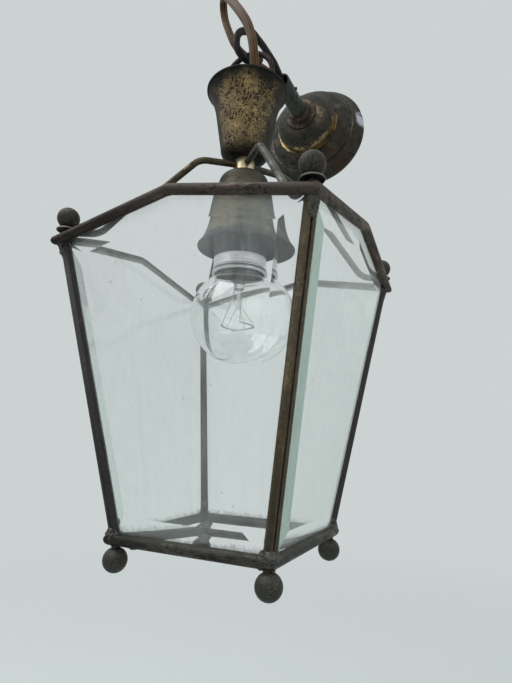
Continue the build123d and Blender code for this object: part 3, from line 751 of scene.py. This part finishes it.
# %% Glass
def clear_glass(name, tint, ior, long_way=None, depth_colour=None, depth=0.0):
    """Smooth clear glass that lets the lamps' light through, and lets go of light that turns inside it."""
    material, tree, shader, output, place = new_material(name)
    smear = use(tree, tarnish, place=place, scale=45.0, coverage=0.35, softness=0.3)["Mask"]
    dirt = use(tree, specks, place=place, scale=420.0, amount=0.03)["Mask"]
    colour = mix(tree, times(tree, smear, 0.5), tint, scaled(tint, 0.93))
    colour = mix(tree, dirt, colour, scaled(tint, 0.45))
    set_inputs(tree, shader, Base_Color=colour, Roughness=0.0, IOR=ior, Transmission_Weight=1.0)
    ray = add(tree, "ShaderNodeLightPath").outputs
    through = add(tree, "ShaderNodeBsdfTransparent", {"Color": scaled(tint, 0.96)})
    ways = {0: ray["Is Shadow Ray"], 1: shader.outputs[0], 2: through.outputs[0]}
    swap = add(tree, "ShaderNodeMixShader", ways)
    if long_way:
        inside = add(tree, "ShaderNodeNewGeometry").outputs["Backfacing"]
        trapped = times(tree, inside, ray["Is Reflection Ray"])
        pale = mix(tree, trapped, scaled(tint, 0.96), long_way)
        tree.links.new(pale, through.inputs["Color"])
        tree.links.new(larger(tree, ray["Is Shadow Ray"], trapped), swap.inputs[0])
    tree.links.new(swap.outputs[0], output.inputs["Surface"])
    if depth_colour:
        volume = add(tree, "ShaderNodeVolumeAbsorption", {"Color": depth_colour, "Density": depth})
        tree.links.new(volume.outputs[0], output.inputs["Volume"])
    return material


pane = clear_glass("pane_glass", (0.99, 1.0, 0.995), 1.47, (0.40, 0.54, 0.47), (0.45, 0.85, 0.74), 3.0)
dress(pane, *(f"glass_{side}" for side in sides))
lamp_glass = clear_glass("lamp_glass", (0.97, 0.98, 0.98), 1.48)
dress(lamp_glass, "bulb_glass", "bulb_stem")

# %% [markdown]
# ## The flex
# The flex is a free cord: it leaves the lantern's centre tube, climbs past the hook, makes a loop above it
# and comes back down behind it into the arm tube. A few given points are enough, because a smooth spline of
# low order bends as evenly as real flex does. The ribbed covering is a section carried along that line, and
# the section is a closed curve whose radius rises and falls around it.


# %% Flex line
flex_route = [
    (0, -140, -96.5), (0, -140, -83), (7.5, -145, -69), (12.5, -154, -53), (13, -158, -34), (9.5, -159, -18),
    (3.5, -159, -6), (-5, -156, 8.5), (-12, -152, 20), (-19, -145, 31), (-25, -137, 34), (-26, -132, 25),
    (-21.5, -132, 12), (-16.6, -131.5, -0.5), (-12, -126, -5.5), (-7.5, -115, -6), (-3, -101, -3.5),
    (0, -84, -2.75), (0, -53, -2.75), (0, -22, -1),
]


def spline_object(name, points, kind="NURBS", closed=False):
    """A curve object of one spline through or along the points, which are in metres."""
    curve = bpy.data.curves.new(name, "CURVE")
    curve.dimensions = "3D"
    spline = curve.splines.new(kind)
    spline.points.add(len(points) - 1)
    for point, spot in zip(spline.points, points):
        point.co = (*spot, 1.0)
    spline.use_cyclic_u = closed
    if kind == "NURBS":
        spline.order_u = 3
        spline.use_endpoint_u = not closed
    curve.resolution_u = 10
    return linked(name, curve)


def mesh_of(piece):
    """The mesh of an object with its curve or its modifiers worked out."""
    bpy.context.view_layer.update()
    worked_out = piece.evaluated_get(bpy.context.evaluated_depsgraph_get())
    return bpy.data.meshes.new_from_object(worked_out)


def solid_from(line, name):
    """The mesh that a bevelled curve or a modified object makes; the object is dropped."""
    mesh = mesh_of(line)
    mesh.name = name
    bpy.data.objects.remove(line)
    mesh.shade_smooth()
    return mesh


flex_line = spline_object("flex_line", [Vector(point) * mm for point in flex_route])
flex_path = [vertex.co.copy() for vertex in mesh_of(flex_line).vertices]

# %% Flex covering
ribs = 10
flex_wide, flex_thick, rib_deep = 3.1 * mm, 2.6 * mm, 0.13
steps = 96
section_points = []
for step in range(steps):
    angle = 2 * pi * step / steps
    swell = 1 - rib_deep * (1 - abs(cos(ribs / 2 * angle))) ** 1.5
    section_points.append(Vector((flex_wide * swell * cos(angle), flex_thick * swell * sin(angle), 0)))
pairs = zip(section_points, section_points[1:] + section_points[:1])
flex_size = 2 * (sum(here.cross(there).z for here, there in pairs) / (2 * pi)) ** 0.5
section = spline_object("flex_section", section_points, kind="POLY", closed=True)
flex_line.data.bevel_mode = "OBJECT"
flex_line.data.bevel_object = section
flex_line.data.use_fill_caps = True
flex_mesh = joined("flex_covering", [solid_from(flex_line, "flex_line")])
bpy.data.objects.remove(section)
print("flex covering faces", len(flex_mesh.polygons), "size", round(flex_size, 5))


def flex_finish():
    """Clear golden-brown covering, a little cloudy with age, with a painted highlight along the ribs and
    painted shade between them.
    """
    material, tree, shader, _, place = new_material("flex_covering")
    # The lighter ribs are a painted highlight, and the dark between them is painted shade.
    ribbed = use(tree, wear, place=place, width=0.03, breaks=60.0)
    cloudy = use(tree, tarnish, place=place, scale=60.0, coverage=0.5, softness=0.3)["Mask"]
    colour = mix(tree, cloudy, (0.072, 0.034, 0.010), (0.046, 0.021, 0.006))
    colour = mix(tree, times(tree, ribbed["Crest"], 0.8), colour, (0.130, 0.066, 0.022))
    colour = mix(tree, ribbed["Groove"], colour, (0.010, 0.006, 0.003))
    set_inputs(tree, shader, Base_Color=colour, Roughness=0.42, Specular_IOR_Level=0.2)
    return material


# %% [markdown]
# The flex crosses two joints, one above the ring and one below it, and a piece can bend across one joint
# only. So it is cut where it follows the ring, down inside the upper bell, into a long part between bracket
# and ring and a short tail between ring and lantern.


# %% Flex in two parts
seam_z = -50 * mm


def upwards(height):
    """A step of that height."""
    return Vector((0, 0, height))


def cut_at_seam(name, above):
    """The closed part of the flex on one side of the seam."""
    half = bmesh.new()
    half.from_mesh(flex_mesh)
    everything = half.verts[:] + half.edges[:] + half.faces[:]
    cut = bmesh.ops.bisect_plane(
        half, geom=everything, plane_co=(0, 0, seam_z), plane_no=(0, 0, 1), clear_inner=above,
        clear_outer=not above,
    )
    cut_edges = [item for item in cut["geom_cut"] if isinstance(item, bmesh.types.BMEdge)]
    bmesh.ops.contextual_create(half, geom=cut_edges)
    mesh = plain_mesh(name, half)
    mesh.shade_smooth()
    return mesh


flex_look = flex_finish()
tail_mesh, long_mesh = cut_at_seam("flex_tail", False), cut_at_seam("flex_covering", True)
tail = place_piece("flex_tail", tail_mesh, None, flex_look, ["flex"])
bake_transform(tail)
flex = place_piece("flex_covering", long_mesh, None, flex_look, ["flex"])
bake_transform(flex)

# %% [markdown]
# ## Small wire work
# The lamp's filament is a wire far finer than a hair, coiled and hung in an arc from its supports. The
# lampholder's contact springs are coils as well. Each is a helix worked out by a loop and given thickness.


# %% Filament
def wire_piece(name, points, radius, sides_round=6):
    """A closed round wire along the points."""
    line = spline_object(name, points, kind="POLY")
    line.data.bevel_depth = radius
    line.data.bevel_resolution = max(0, sides_round // 2 - 2)
    line.data.use_fill_caps = True
    return solid_from(line, name)


filament_z = middle("bulb_filament").z
plain_wire_r, sag_deep = 0.22 * mm, 0.9 * mm
filament_r = half_size("bulb_filament") - plain_wire_r
coil_r, coil_wire, coil_turns, per_turn = 0.26 * mm, 0.10 * mm, 110, 9
open_angle = radians(35)
coil_points = []
for step in range(coil_turns * per_turn + 1):
    along = open_angle + (2 * pi - 2 * open_angle) * step / (coil_turns * per_turn)
    spin = 2 * pi * step / per_turn
    out = filament_r + coil_r * cos(spin)
    sag = sag_deep * abs(sin(1.5 * (along - open_angle)))
    height = filament_z + coil_r * sin(spin) - sag
    coil_points.append((out * sin(along), axis.y - out * cos(along), height))
tungsten = aged(
    "tungsten", (0.07, 0.07, 0.08), (0.04, 0.04, 0.045), (0.02, 0.02, 0.02), coverage=0.3, scale=800.0,
)
filament_mesh = joined("filament_coil", [wire_piece("filament_wire", coil_points, coil_wire)])
place_piece("filament_coil", filament_mesh, "bulb", tungsten, ["bulb_filament"])
print("filament turns:", coil_turns)

# %% Contact springs
spring_low, spring_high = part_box("holder_springs")
spring_length = spring_high[2] - spring_low[2]
spring_steel = plated("spring_steel", (0.52, 0.53, 0.56), (1, 1, 0.3))
coils = []
wire_r, spring_turns, per_turn = 0.25 * mm, 4, 24
spring_r = half_size("holder_springs", 1) - wire_r
rise = (spring_length - 2 * wire_r) / (spring_turns * per_turn)
for x in (spring_low[0] + spring_r + wire_r, spring_high[0] - spring_r - wire_r):
    coil_points = []
    for step in range(spring_turns * per_turn + 1):
        spin = 2 * pi * step / per_turn
        height = spring_low[2] + wire_r + rise * step
        coil_points.append((x + spring_r * cos(spin), axis.y + spring_r * sin(spin), height))
    coils.append(wire_piece("spring_wire", coil_points, wire_r, 8))
spring_mesh = joined("contact_springs", coils)
springs = place_piece(
    "contact_springs", spring_mesh, "lantern", spring_steel, ["holder_springs"],
)
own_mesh(springs)

# %% [markdown]
# ## Solder
# The frame is soft-soldered at its corners, by hand, and each joint is a small grey lump that ran where it
# liked. A few overlapping balls, fused by a voxel remesh and roughened a little, make a better lump than
# any single shape would.


# %% Solder lumps
def lump(shape, centre, wide, deep=None, high=None):
    """Adds a ball to a bmesh, with its radii in millimetres; from one radius it is round."""
    scale = Matrix.Diagonal((wide * mm, (deep or wide) * mm, (high or wide) * mm, 1.0))
    bmesh.ops.create_icosphere(shape, subdivisions=3, radius=1.0, matrix=Matrix.Translation(centre) @ scale)


rough_scale = 600.0


def fused(name, shape, voxel, rough):
    """Fuses overlapping balls into one skin and roughens it."""
    piece = linked(name, plain_mesh(name, shape))
    fuse = piece.modifiers.new("fuse", "REMESH")
    fuse.mode = "VOXEL"
    fuse.voxel_size = voxel
    soften = piece.modifiers.new("soften", "SMOOTH")
    soften.iterations = 3
    done = solid_from(piece, name)
    for vertex in done.vertices:
        vertex.co += vertex.normal * rough * noise.noise(vertex.co * rough_scale)
    return done


draw = random.Random(7)
ball_r = half_size("bottom_balls", 2)
ball_inset = bottom_half - (half_size("bottom_balls") - ball_r)
top_lumps = bmesh.new()
bottom_lumps = bmesh.new()
for outward in corners.values():
    runs = (Vector((-outward.x, 0, 0)), Vector((0, -outward.y, 0)))
    corner = Vector((axis.x, axis.y, top_z)) + outward * top_half
    lump(top_lumps, corner + outward * 0.7 * mm + upwards(0.6 * mm), 3.6, 3.6, 3.1)
    lump(top_lumps, corner + Vector((0.3, -0.2, 4.4)) * mm, 2.9, 2.8, 1.5)
    for drop, out, radius in ((2.2, 0.9, 3.0), (4.2, 0.35, 3.0), (6.4, -0.1, 2.9), (8.6, -0.6, 2.7)):
        beside = Vector((draw.uniform(-0.5, 0.5), draw.uniform(-0.5, 0.5), -drop)) * mm
        size = radius * draw.uniform(0.94, 1.06)
        lump(top_lumps, corner + outward * out * mm + beside, size, size, size * draw.uniform(0.8, 1.1))
    for run in runs:
        reach = draw.uniform(2.6, 4.2) * mm
        low = upwards(draw.uniform(-3.2, -2.0) * mm)
        lump(top_lumps, corner + run * reach + outward * 0.4 * mm + low, draw.uniform(1.7, 2.3))
        lump(top_lumps, corner + run * reach * 1.5 + upwards(1.8 * mm), draw.uniform(1.2, 1.8))
    corner = Vector((axis.x, axis.y, foot_z)) + outward * bottom_half
    lump(bottom_lumps, corner - outward * 0.6 * mm, 3.8, 3.8, 3.3)
    for run in runs:
        reach = draw.uniform(2.6, 4.0) * mm
        lift = upwards(draw.uniform(2.2, 3.4) * mm)
        lump(bottom_lumps, corner + run * reach - outward * 0.4 * mm + lift, draw.uniform(2.0, 2.6))
    for lift, inwards, radius in ((2.6, 0.0, 3.7), (4.6, 0.5, 3.5), (6.8, 0.9, 3.4), (9.0, 1.0, 3.3)):
        beside = Vector((draw.uniform(-0.3, 0.3), draw.uniform(-0.3, 0.3), lift)) * mm
        lump(bottom_lumps, corner - outward * inwards * mm + beside, radius, radius, 1.9)
    neck = corner - outward * ball_inset
    lump(bottom_lumps, neck - upwards(2.8 * mm), 3.9, 3.9, 2.0)
    lump(bottom_lumps, neck - upwards(4.2 * mm), 3.1, 3.1, 1.6)
solder_finish = aged(
    "solder", (0.27, 0.27, 0.25), (0.085, 0.083, 0.072), (0.022, 0.021, 0.018), coverage=0.66, scale=240.0,
    spots=0.45, shine=(0.30, 0.6), bumps=0.0003,
)
for name, shape in (("top_solder", top_lumps), ("bottom_solder", bottom_lumps)):
    mesh = fused(name, shape, voxel=0.42 * mm, rough=0.45 * mm)
    place_piece(name, mesh, "lantern", solder_finish)
    print(name, "faces", len(mesh.polygons))

# %% [markdown]
# ## Dirt on the glass
# Old panes are never quite clear. A haze of dust greys what stands behind them, rain has drawn faint runs
# down it, and a line of dirt lies along the foot. All three are one thin skin cut from the outside of each
# pane, so it follows the bevels, and its alpha says how much dirt there is. The specks on it are very
# small flattened beads with few faces.


# %% Haze and specks
def dirty(name, tone, haze=None):
    """Grey-brown dirt; with a haze it is a pale film that thickens and darkens below a height."""
    material, tree, shader, _, place = new_material(name)
    cloud_mask = use(tree, tarnish, place=place, scale=300.0, coverage=0.5, softness=0.2)["Mask"]
    colour = mix(tree, cloud_mask, tone, scaled(tone, 0.6))
    if haze:
        thin, full, dust_tone, low, high = haze
        clouds = speckle(tree, place, 38.0, 5.0, 0.6)
        runs = speckle(tree, moved(tree, place, scale=(1, 1, 0.07)), 260.0, 4.0, 0.6)
        both = plus(tree, times(tree, clouds, 0.6), times(tree, runs, 0.4))
        film = band(tree, both, 0.32, 0.68, (thin, full))
        uneven = minus(tree, speckle(tree, place, 260.0, 5.0, 0.7), 0.5)
        height = plus(tree, split(tree, place)["Z"], times(tree, uneven, 8 * mm))
        foot = band(tree, height, high, low)
        colour = mix(tree, foot, dust_tone, colour)
        set_inputs(tree, shader, Alpha=larger(tree, film, times(tree, foot, 0.32)))
    set_inputs(tree, shader, Base_Color=colour, Roughness=0.85)
    return material


film_low, film_high = foot_z + 2.4 * mm, foot_z + 7.5 * mm
pane_haze = (0.030, 0.105, (0.86, 0.90, 0.89), film_low, film_high)
pane_film = dirty("pane_film", (0.20, 0.19, 0.165), pane_haze)
film_stand_off, film_thick, outer_face = 0.05 * mm, 0.06 * mm, 0.7
skins = []
for side, outward in sides.items():
    shape = merged(f"glass_{side}")
    other = [face for face in shape.faces if face.normal.dot(outward) < outer_face]
    bmesh.ops.delete(shape, geom=other, context="FACES")
    bmesh.ops.translate(shape, verts=shape.verts, vec=outward * film_stand_off)
    bmesh.ops.solidify(shape, geom=shape.faces[:], thickness=-film_thick)
    skins.append(plain_mesh("pane_film", shape))
place_piece("pane_film", joined("pane_film", skins), "lantern", pane_film)

beads = bmesh.new()
specks_a_pane = 70
for side, outward in sides.items():
    across = Vector((-outward.y, outward.x, 0))
    pane_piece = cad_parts[f"glass_{side}"]
    for _ in range(specks_a_pane):
        up = draw.random()
        half = bottom_half + (top_half - bottom_half) * up
        sideways = draw.uniform(-0.86, 0.86) * half
        size = draw.choice((0.12, 0.16, 0.2, 0.3)) * mm
        stretch = draw.uniform(0.7, 1.6)
        outside = Vector((axis.x, axis.y, foot_z + (top_z - foot_z) * up))
        outside += outward * 2 * half + across * sideways
        met, spot, facing, _ = pane_piece.ray_cast(outside, -outward)
        if met:
            turn_to = facing.to_track_quat("Z", "Y").to_matrix().to_4x4()
            shape_of_speck = Matrix.Diagonal((size, size * stretch, size * 0.5, 1))
            matrix = Matrix.Translation(spot + facing * film_thick) @ turn_to @ shape_of_speck
            bmesh.ops.create_icosphere(beads, subdivisions=1, radius=1.0, matrix=matrix)
bead_mesh = to_mesh("glass_specks", beads, 80.0)
print("speck faces:", len(bead_mesh.polygons))
place_piece("glass_specks", bead_mesh, "lantern", dirty("speck_dirt", (0.12, 0.11, 0.09)))

# %% [markdown]
# ## Light and backdrop
# One large soft lamp stands high on the left, a weaker one fills the right without showing as a
# reflection in the panes, and the world lights from all round: brighter above, darker below, as a pale
# room with a dark floor would. What the camera sees, directly or through glass, is a plain pale backdrop,
# chosen by the kind of ray, so that the background adds no light of its own.

# %% Lamps
aim = Vector((0, axis.y, -0.2))
for name, spot, size, power, mirrored in (
    ("key_lamp", (-0.62, -0.72, 0.95), 1.2, 11.5, True),
    ("fill_lamp", (1.05, -0.75, 0.10), 0.9, 3.5, False),
):
    lamp = linked(name, bpy.data.lights.new(name, "AREA"))
    lamp.data.size = size
    lamp.data.energy = power
    lamp.location = spot
    lamp.rotation_euler = (Vector(spot) - aim).to_track_quat("Z", "Y").to_euler()
    lamp.visible_glossy = mirrored
    print(name, power, "W")

# %% Room
backdrop = (0.605, 0.645, 0.645)
world = bpy.data.worlds.new("room")
bpy.context.scene.world = world
world.use_nodes = True
room = world.node_tree
room.nodes.clear()
way = split(room, add(room, "ShaderNodeTexCoord").outputs["Generated"])
from_below, from_above = (0.20, 0.205, 0.20), (0.78, 0.80, 0.82)
all_round = mix(room, band(room, way["Z"], -0.45, 0.55), from_below, from_above)
wall_side = band(room, way["Y"], -0.1, 0.6)
all_round = mix(room, times(room, wall_side, 0.8), all_round, backdrop)
light = add(room, "ShaderNodeBackground", {"Color": all_round, "Strength": 1.0})
plain = add(room, "ShaderNodeBackground", {"Color": backdrop, "Strength": 1.0})
ray = add(room, "ShaderNodeLightPath").outputs
seen = larger(room, ray["Is Camera Ray"], ray["Is Transmission Ray"])
shown = add(room, "ShaderNodeMixShader", {0: seen, 1: light.outputs[0], 2: plain.outputs[0]})
add(room, "ShaderNodeOutputWorld", {"Surface": shown.outputs[0]})

# %% Floor
floor_z, floor_r = -0.62, 1.6
shape = bmesh.new()
bmesh.ops.create_circle(shape, cap_ends=True, segments=96, radius=floor_r)
bmesh.ops.translate(shape, verts=shape.verts, vec=(0, axis.y, floor_z))
floor_mesh = plain_mesh("floor", shape)
floor = linked("floor", floor_mesh)
floor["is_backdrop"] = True
floor_material, tree, shader, _, place = new_material("floor")
parts = split(tree, moved(tree, place, location=(0, -axis.y, -floor_z)))
faded = band(tree, around(tree, parts["X"], parts["Y"]), floor_r * 0.95, floor_r * 0.25)
grain = mix(tree, speckle(tree, place, 40.0), scaled(backdrop, 0.97), backdrop)
set_inputs(tree, shader, Base_Color=grain, Roughness=0.9, Alpha=faded)
floor_mesh.materials.append(floor_material)
print("floor", floor_r, "m round, at", floor_z)

# %% [markdown]
# ## Closing
# The box of the dressed lantern, floor left out, is worked out at the end from the pieces as they now stand.
# The box of the dressed lantern has to stay inside the box of the one that arrived.

# %% Sizes and finish
low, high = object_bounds()
